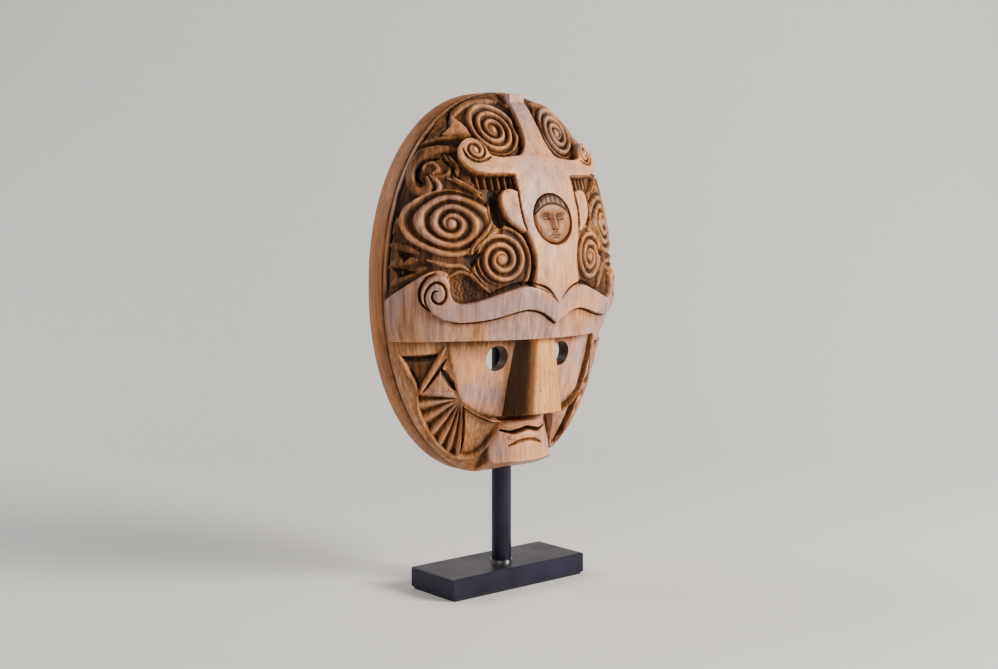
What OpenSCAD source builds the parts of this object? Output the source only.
// Carved wooden face mask that turns and lifts off on a round post with a flat steel foot.
// Millimetres. +Z is up, the mask looks along -Y, and the origin is the centre of the
// foot's underside. The mask is a hollow dome whose outline is a superellipse, and its
// carving stands proud of, or is sunk into, that dome.

/* [Mask block] */
// Width of the mask across its rim
mask_w = 228; // [190:1:274]
// Height of the mask from chin to crown, before the chin is sawn flat
mask_h = 309; // [256:1:372]
// How much of the block's rounded lower end is sawn off flat at the chin
chin_cut = 5.5; // [0:0.5:7]
// Gap between the top of the foot and the chin
chin_gap = 78; // [45:0.5:120]
// Depth of the dome above the brow, measured from the rim
brow_depth = 67; // [60:1:80]
// Depth of the dome below the brow, measured from the rim
face_depth = 57; // [50:1:66]
// Depth of the straight side wall behind the dome
rim_depth = 22; // [16:1:30]
// Thickness of the wood across the outline
wall_side = 13; // [10:0.5:18]
// Thickness of the wood at the deepest part of the dome
wall_front = 13; // [11:0.5:16]

/* [Carving] */
// How far the plain bands stand above the ground
relief = 6; // [3:0.5:8]
// How far the round ornaments stand above the ground
ring_relief = 3; // [2:0.5:5]
// How far the smooth face is sunk below the cheeks
face_sink = 10; // [6:0.5:12]
// How far the mouth block stands above the cheeks
mouth_relief = 14; // [10:0.5:16]
// Diameter of an eye hole
eye_d = 19; // [14:0.5:24]
// Distance of an eye from the middle line
eye_x = 33; // [28:0.5:40]
// Height of the eyes below the centre of the mask
eye_drop = 55; // [50:1:60]

/* [Nose] */
// Width of the nose at its top
nose_top_w = 19; // [10:1:22]
// Width of the nose at its flat end
nose_end_w = 29; // [22:1:36]
// Width of the nose's flat root
nose_root_w = 43; // [38:1:50]
// Length of the nose
nose_len = 58; // [48:1:66]
// How much lower the nose's end is at its root than at its front
nose_end_drop = 4; // [0:0.5:5]
// Depth of the nose's flat seat at its top, measured from the rim
seat_top = 38; // [36:0.5:40]
// Depth of the nose's flat seat at its end, measured from the rim
seat_end = 31; // [28:0.5:32]
// Front of the nose, measured from the rim
nose_front = 60; // [52:1:68]
// Length of the stub tenon behind the nose
tenon_len = 3; // [2:0.5:4]

/* [Inlay] */
// Diameter of the round forehead inlay
inlay_d = 39; // [30:1:44]
// Thickness of the inlay at its middle
inlay_thick = 8; // [6:0.5:10]
// Height of the inlay above the centre of the mask
inlay_rise = 53.5; // [46:0.5:60]
// Depth of the inlay's seat, measured from the rim
inlay_seat = 58; // [56:0.5:62]
// Gap around the inlay
inlay_gap = 0.6; // [0.2:0.1:1.5]

/* [Batten] */
// Height of the batten's section
batten_h = 24; // [20:1:32]
// Depth of the batten's section
batten_d = 20; // [18:1:24]
// Height of the batten above the centre of the mask
batten_rise = 5; // [0:1:20]
// Length of each batten end that is let into the side wall
batten_let = 5; // [4.5:0.5:6]
// Shank diameter of a batten screw
wood_screw_d = 4; // [3:0.5:5]
// Head diameter of a batten screw
wood_screw_head = 8; // [6:0.5:10]
// Length of a batten screw
wood_screw_len = 25; // [22:1:26]

/* [Post and pivot] */
// Diameter of the post
post_d = 16; // [12:1:20]
// Distance of the post's centre forward of the foot's centre
post_forward = 3; // [0:0.5:8]
// Diameter of the pivot pin at the top of the post
pin_d = 8; // [6:0.5:9]
// Length of the pivot pin inside the post
pin_in_post = 18; // [12:1:30]
// Length of the pivot pin above the post
pin_above = 24; // [18:1:28]
// Radial clearance between the pivot pin and its bush
pin_clearance = 0.06; // [0.03:0.01:0.1]
// Wall of the brass bush
bush_wall = 2.5; // [1.5:0.5:3]
// Diameter of the bush's flange
bush_flange_d = 20; // [18:1:24]
// Thickness of the bush's flange
bush_flange_t = 2; // [1:0.5:3]
// Thickness of the thrust washer
washer_t = 2; // [1:0.5:3]
// Gap around the post where it passes the chin
chin_hole_gap = 1.5; // [1:0.5:3]
// Width of the bright collar's ring around the post's foot
collar_ring = 1; // [0.5:0.5:4]
// Height of the collar
collar_h = 1.5; // [1:0.5:4]

/* [Foot] */
// Length of the steel foot
foot_len = 138; // [115:1:166]
// Depth of the steel foot
foot_depth = 56; // [46:1:68]
// Height of the foot with its pad
foot_h = 18; // [15:0.5:22]
// Broken edge of the foot
foot_edge = 0.8; // [0.4:0.1:2]
// Thickness of the rubber pad
pad_t = 1.5; // [1:0.5:2.5]
// Set-back of the pad from the foot's edge
pad_inset = 1.5; // [0.5:0.5:4]
// Thread diameter of the foot screw
foot_screw_d = 8; // [6:1:8]
// Length of the foot screw's thread inside the post
foot_screw_in = 20; // [12:1:30]
// Diameter of the foot screw's head
foot_screw_head = 13; // [10:0.5:14]
// Height of the foot screw's head
foot_screw_head_h = 6; // [4:0.5:6.5]
// Diameter of the washer under the screw head
foot_washer_d = 16; // [14:0.5:20]
// Thickness of the washer under the screw head
foot_washer_t = 1.6; // [1:0.2:2]

/* [Hidden] */
$fn = 64;
side_power = 2.1;            // roundness of the outline
dome_power = 1.65;           // roundness of the dome from rim to front
steps_round = 48;            // points round one loop of the hollow
steps_out = 10;              // loops from the front of the hollow to the rim
steps_across = 21;           // points on one side of a row of the block
rows_above = 40;             // rows of the block above the brow's lower edge
rows_below = 26;             // rows of the block below it
edge_ramp = 3;               // width of a carved edge, seen from the front
cap_w = 7;                   // half-width of the small flats at the chin and the crown

half_w = mask_w / 2;
half_h = mask_h / 2;
mask_z = foot_h + chin_gap - chin_cut + half_h;      // height of the mask's centre
brow_edge = -41;                          // lower edge of the brow band, from the centre
brow_z = mask_z + brow_edge;
mouth_top = -106;                         // upper edge of the mouth block, from the centre
post_y = -post_forward;
batten_z = mask_z + batten_rise;
batten_low = batten_z - batten_h / 2;
post_top = batten_low - bush_flange_t - washer_t;
pin_hole_d = pin_d + 2 * pin_clearance;
bush_d = pin_hole_d + 2 * bush_wall;
bush_len = pin_above - washer_t - bush_flange_t;
batten_half = half_w - wall_side + batten_let;
screw_x = batten_half - batten_let / 2 - 0.5;
seat_tilt = atan2(seat_top - seat_end, nose_len + nose_end_drop);
head_recess = 0.4;                        // how far the foot screw's head lies above the pad
screw_gap = 0.4;                          // clearance hole of the foot screw over its thread
hex_key = 7;                              // width over the corners of the socket in its head
hex_depth = 3;
pin_chamfer = 1.5;                        // lead-in at the top of the pivot pin
fit_gap = 0.1;                            // gap round a piece that is let into the wood
slit_depth = 24;                          // depth of the mouth slit's floor, measured from the rim
tenon_w = 12;
tenon_h = 24;
screw_pocket = foot_screw_head_h + foot_washer_t + head_recess;   // depth of the pocket under the foot
screw_pocket_d = max(foot_screw_head, foot_washer_d) + 1;

// Top of the brow band, as (distance from the middle, height above the centre)
brow_top = [[0, -11], [10, -3], [20, 1], [30, 2], [44, -1], [60, -6], [80, -8], [88, 10], [95, 12],
    [106, 3], [140, -7]];
// Half-width of the middle column, as (height above the centre, half-width)
column_edge = [[-12, 12], [3, 23], [20, 19.5], [30, 20], [50, 28], [60, 29], [86, 28]];
// Half-width of the sunk face
face_edge = [[-110, 20], [-106, 27], [-103, 35], [-94, 53], [-84, 63], [-68, 71], [-50, 77], [-41, 79]];
// Half-width of the mouth block
mouth_edge = [[-141, 28], [-134, 40], [-127, 36], [-115, 31], [-106, 27]];

wood_dark = [0.42, 0.29, 0.18];
wood_gold = [0.66, 0.50, 0.33];
satin_black = [0.06, 0.06, 0.08];
steel = [0.72, 0.72, 0.74];
brass = [0.78, 0.62, 0.32];

// Signed power, for walking round a superellipse
function spow(c, p) = sign(c) * pow(abs(c), p);
// Smooth change from 0 at a to 1 at b
function blend(v, a, b) = let (t = min(1, max(0, (v - a) / (b - a)))) t * t * (3 - 2 * t);
// 1 well inside a half-width, 0 outside it
function within(x, limit) = 1 - blend(abs(x), limit - edge_ramp / 2, limit + edge_ramp / 2);
// 1 between two heights, 0 outside them
function between(h, low, high) = (h < low || h > high) ? 0 : 1;
// Half-width of the outline at height h above the centre
function outline_at(h) = max(cap_w,
    half_w * pow(1 - min(1, pow(abs(h) / half_h, side_power)), 1 / side_power));
// How much of the dome's depth is left at (x, h): 1 at its front and 0 at the rim
function fall_at(x, h) = let (r = pow(pow(abs(x) / half_w, side_power)
    + pow(abs(h) / half_h, side_power), 1 / side_power))
    pow(1 - min(1, pow(r, dome_power)), 1 / dome_power);
// Round pad of radius r about (cx, ch), seen from the front
function pad_at(x, h, cx, ch, r) = 1 - blend(norm([abs(x) - cx, h - ch]),
    r - edge_ramp / 2, r + edge_ramp / 2);

// Carving above the brow's lower edge: plain bands and round ornaments
function upper_work(x, h) = max(
    relief * (h < lookup(abs(x), brow_top) ? 1 : 0),
    relief * between(h, -12, 86) * within(x, lookup(h, column_edge)),
    relief * between(h, 100, half_h) * within(x, 9),
    relief * between(h, 86, 100) * within(x, 62),
    relief * pad_at(x, h, 55, 102, 9),
    relief * between(h, 46, 74) * within(x, 43),
    ring_relief * pad_at(x, h, 33, 122, 19),
    ring_relief * pad_at(x, h, 72, 50, 24),
    ring_relief * pad_at(x, h, 45, 22, 17));
// Carving below it: the sunk smooth face and the raised mouth block
function lower_work(x, h) = h > mouth_top ? -face_sink * within(x, lookup(h, face_edge))
    : mouth_relief * within(x, lookup(h, mouth_edge));
// Front of the carved surface at (x, h)
function front_at(x, h, upper) = let (f = fall_at(x, h), work = upper ? upper_work(x, h) : lower_work(x, h))
    -(upper ? brow_depth : face_depth) * f - work * min(1, 3 * f);

// Heights of the rows from a to b, closer together towards b
function rows(a, b, n) = [for (k = [0 : n]) let (t = k / n) a + (b - a) * (0.45 * t + 0.55 * sin(90 * t))];
// One closed loop of the block at height h
function block_loop(h, upper) = let (w = outline_at(h)) concat([[-w, rim_depth, mask_z + h]],
    [for (j = [-steps_across : steps_across])
        let (t = j / steps_across, x = w * (0.4 * t + 0.6 * sin(90 * t)))
        [x, abs(j) == steps_across ? 0 : front_at(x, h, upper), mask_z + h]],
    [[w, rim_depth, mask_z + h]]);

// The solid carved block, before it is hollowed
module block() {
    lower = rows(brow_edge - 0.3, -half_h, rows_below);
    loops = concat([for (k = [rows_below : -1 : 0]) block_loop(lower[k], false)],
        [for (h = rows(brow_edge, half_h, rows_above)) block_loop(h, true)]);
    n = len(loops[0]);
    faces = concat([[for (i = [0 : n - 1]) i]],
        [for (k = [0 : len(loops) - 2], i = [0 : n - 1])
            let (a = k * n + i, b = k * n + (i + 1) % n) each [[a, b + n, b], [a, a + n, b + n]]],
        [[for (i = [n - 1 : -1 : 0]) (len(loops) - 1) * n + i]]);
    polyhedron([for (l = loops) each l], faces, convexity = 8);
}

// Depth of the hollow's centre line at height h
function hollow_depth(h) = let (face = face_depth - face_sink - wall_front)
    face + (brow_depth - wall_front - face) * blend(h, brow_edge, brow_edge + 30);
// One loop of the hollow: r is 0 at its front and 1 at the rim
function hollow_loop(w, h, r, back) = [for (i = [0 : steps_round - 1])
    let (a = 360 * i / steps_round, z = h * r * spow(sin(a), 2 / side_power))
    [w * r * spow(cos(a), 2 / side_power),
     back ? rim_depth + 1 : -hollow_depth(z) * pow(1 - pow(r, dome_power), 1 / dome_power), mask_z + z]];

// The hollow behind the face: a smooth dome that runs out through the back
module hollow() {
    w = half_w - wall_side;
    h = half_h - wall_side;
    n = steps_round;
    loops = concat([for (k = [1 : steps_out]) hollow_loop(w, h, sin(90 * k / steps_out), false)],
        [hollow_loop(w, h, 1, true)]);
    points = concat([[0, -hollow_depth(0), mask_z]], [for (l = loops) each l]);
    faces = concat([for (i = [0 : n - 1]) [0, 1 + (i + 1) % n, 1 + i]],
        [for (k = [0 : len(loops) - 2], i = [0 : n - 1])
            let (a = 1 + k * n + i, b = 1 + k * n + (i + 1) % n) each [[a, b, a + n], [b, b + n, a + n]]],
        [[for (i = [0 : n - 1]) 1 + (len(loops) - 1) * n + i]]);
    polyhedron(points, faces, convexity = 8);
}

// A flat outline (x, height above the mask's centre) carried back from the front by depth
module from_front(front, depth) translate([0, depth - front, mask_z]) rotate([90, 0, 0])
    linear_extrude(depth) children();

// Lips: a slit with a bow in the middle
module mouth_slit() polygon([[-21, -115], [-8, -118], [0, -116], [8, -118], [21, -115], [8, -122],
    [0, -120], [-8, -122]]);

module carved_block() difference() {
    block();
    hollow();
    for (side = [-1, 1]) translate([side * eye_x, rim_depth, mask_z - eye_drop]) rotate([90, 0, 0])
        cylinder(d = eye_d, h = face_depth + rim_depth, $fn = 40);
    from_front(face_depth, face_depth - slit_depth) mouth_slit();
    inlay_pocket();
    nose_body();
    nose_tenon(fit_gap);
    batten_box(fit_gap, rim_depth);
    for (side = [-1, 1]) batten_screw(side);
    translate([0, post_y, foot_h]) cylinder(d = post_d + 2 * chin_hole_gap, h = post_top - foot_h);
    translate([-half_w, -face_depth, mask_z - half_h - 1])
        cube([mask_w, face_depth + rim_depth + 1, chin_cut + 1]);
}

module mask_shell() color(wood_dark) resize([mask_w, 0, mask_h - chin_cut]) carved_block();

// Seat of the inlay, open to the front
module inlay_pocket() translate([0, -inlay_seat, mask_z + inlay_rise]) rotate([90, 0, 0])
    cylinder(d = inlay_d + 2 * inlay_gap, h = 40);

module forehead_inlay() color([0.55, 0.36, 0.27])
    translate([0, -inlay_seat, mask_z + inlay_rise]) rotate([90, 0, 0]) intersection() {
        cylinder(d = inlay_d, h = inlay_thick);
        sphere_r = (pow(inlay_d / 2, 2) + pow(inlay_thick, 2)) / (2 * inlay_thick) + 12;
        translate([0, 0, inlay_thick - sphere_r]) sphere(sphere_r);
    }

// Wedge of the nose: a flat root, widening downwards and towards the root
module nose_body() {
    top = brow_z;
    end = brow_z - nose_len;
    t = nose_top_w / 2;
    e = nose_end_w / 2;
    w = nose_root_w / 2;
    polyhedron([[-t, -nose_front + 3, top], [t, -nose_front + 3, top], [e, -nose_front, end],
        [-e, -nose_front, end], [-w, -seat_top, top], [w, -seat_top, top],
        [w, -seat_end, end - nose_end_drop], [-w, -seat_end, end - nose_end_drop]],
        [[0, 1, 2, 3], [7, 6, 5, 4], [0, 4, 5, 1], [2, 6, 7, 3],
         [1, 5, 2], [5, 6, 2], [0, 3, 4], [3, 7, 4]]);
}

// Stub tenon behind the nose, with an optional gap for its mortise
module nose_tenon(gap) translate([0, -(seat_top + seat_end) / 2, brow_z - (nose_len + nose_end_drop) / 2])
    rotate([seat_tilt, 0, 0]) translate([-tenon_w / 2 - gap, -1, -tenon_h / 2 - gap])
    cube([tenon_w + 2 * gap, tenon_len + 1 + gap, tenon_h + 2 * gap]);

module nose_block() color(wood_gold) { nose_body(); nose_tenon(0); }

// The batten's outline, with a gap, carried back by extra for its housing
module batten_box(gap, extra) translate([-batten_half - gap, post_y - batten_d / 2 - gap, batten_low - gap])
    cube([2 * (batten_half + gap), batten_d + 2 * gap + extra, batten_h + 2 * gap]);

module batten() color(wood_gold) difference() {
    batten_box(0, 0);
    translate([0, post_y, batten_low - 1]) cylinder(d = bush_d, h = bush_len + 1);
    translate([0, post_y, batten_low - 1]) cylinder(d = pin_hole_d, h = pin_above + 4);
    for (side = [-1, 1]) batten_screw(side);
}

// One countersunk screw, driven forward through the batten's end
module batten_screw(side) translate([side * screw_x, post_y + batten_d / 2, batten_z])
    rotate([90, 0, 0]) {
        cylinder(d = wood_screw_d, h = wood_screw_len);
        cylinder(d1 = wood_screw_head, d2 = wood_screw_d, h = (wood_screw_head - wood_screw_d) / 2);
    }

module batten_screws() color(steel) for (side = [-1, 1]) batten_screw(side);

module pivot_bush() color(brass) translate([0, post_y, batten_low]) difference() {
    union() {
        cylinder(d = bush_d, h = bush_len);
        translate([0, 0, -bush_flange_t]) cylinder(d = bush_flange_d, h = bush_flange_t);
    }
    translate([0, 0, -bush_flange_t - 1]) cylinder(d = pin_hole_d, h = bush_len + bush_flange_t + 2);
}

module thrust_washer() color("tan") translate([0, post_y, post_top]) difference() {
    cylinder(d = post_d, h = washer_t);
    translate([0, 0, -1]) cylinder(d = pin_hole_d, h = washer_t + 2);
}

module pivot_pin() color(steel) translate([0, post_y, post_top - pin_in_post]) {
    cylinder(d = pin_d, h = pin_in_post + pin_above - pin_chamfer);
    translate([0, 0, pin_in_post + pin_above - pin_chamfer])
        cylinder(d1 = pin_d, d2 = pin_d - 2 * pin_chamfer, h = pin_chamfer);
}

module post() color(satin_black) translate([0, post_y, foot_h]) difference() {
    cylinder(d = post_d, h = post_top - foot_h);
    translate([0, 0, -1]) cylinder(d = foot_screw_d, h = foot_screw_in + 1);
    translate([0, 0, post_top - foot_h - pin_in_post]) cylinder(d = pin_d, h = pin_in_post + 1);
}

module post_collar() color(steel) translate([0, post_y, foot_h]) difference() {
    cylinder(d = post_d + 2 * collar_ring, h = collar_h);
    translate([0, 0, -1]) cylinder(d = post_d, h = collar_h + 2);
}

module foot_screw() color(steel) translate([0, post_y, pad_t + head_recess]) difference() {
    union() {
        cylinder(d = foot_screw_head, h = foot_screw_head_h);
        cylinder(d = foot_screw_d, h = foot_h - pad_t - head_recess + foot_screw_in);
    }
    translate([0, 0, -1]) cylinder(d = hex_key, h = hex_depth + 1, $fn = 6);
}

module foot_washer() color(steel) translate([0, post_y, pad_t + head_recess + foot_screw_head_h])
    difference() {
        cylinder(d = foot_washer_d, h = foot_washer_t);
        translate([0, 0, -1]) cylinder(d = foot_screw_d + screw_gap, h = foot_washer_t + 2);
    }

module foot_slab() color(satin_black) difference() {
    translate([0, 0, pad_t]) hull() {
        e = foot_edge;
        translate([-foot_len / 2 + e, -foot_depth / 2 + e, 0])
            cube([foot_len - 2 * e, foot_depth - 2 * e, foot_h - pad_t]);
        translate([-foot_len / 2, -foot_depth / 2, e]) cube([foot_len, foot_depth, foot_h - pad_t - 2 * e]);
    }
    translate([0, post_y, 0]) cylinder(d = foot_screw_d + screw_gap, h = foot_h + 1);
    translate([0, post_y, pad_t - 1]) cylinder(d = screw_pocket_d, h = screw_pocket + 1);
}

module foot_pad() color([0.09, 0.09, 0.09])
    translate([-foot_len / 2 + pad_inset, -foot_depth / 2 + pad_inset, 0])
    cube([foot_len - 2 * pad_inset, foot_depth - 2 * pad_inset, pad_t]);

foot_slab();
foot_pad();
foot_screw();
foot_washer();
post();
post_collar();
pivot_pin();
thrust_washer();
pivot_bush();
batten();
batten_screws();
mask_shell();
nose_block();
forehead_inlay();
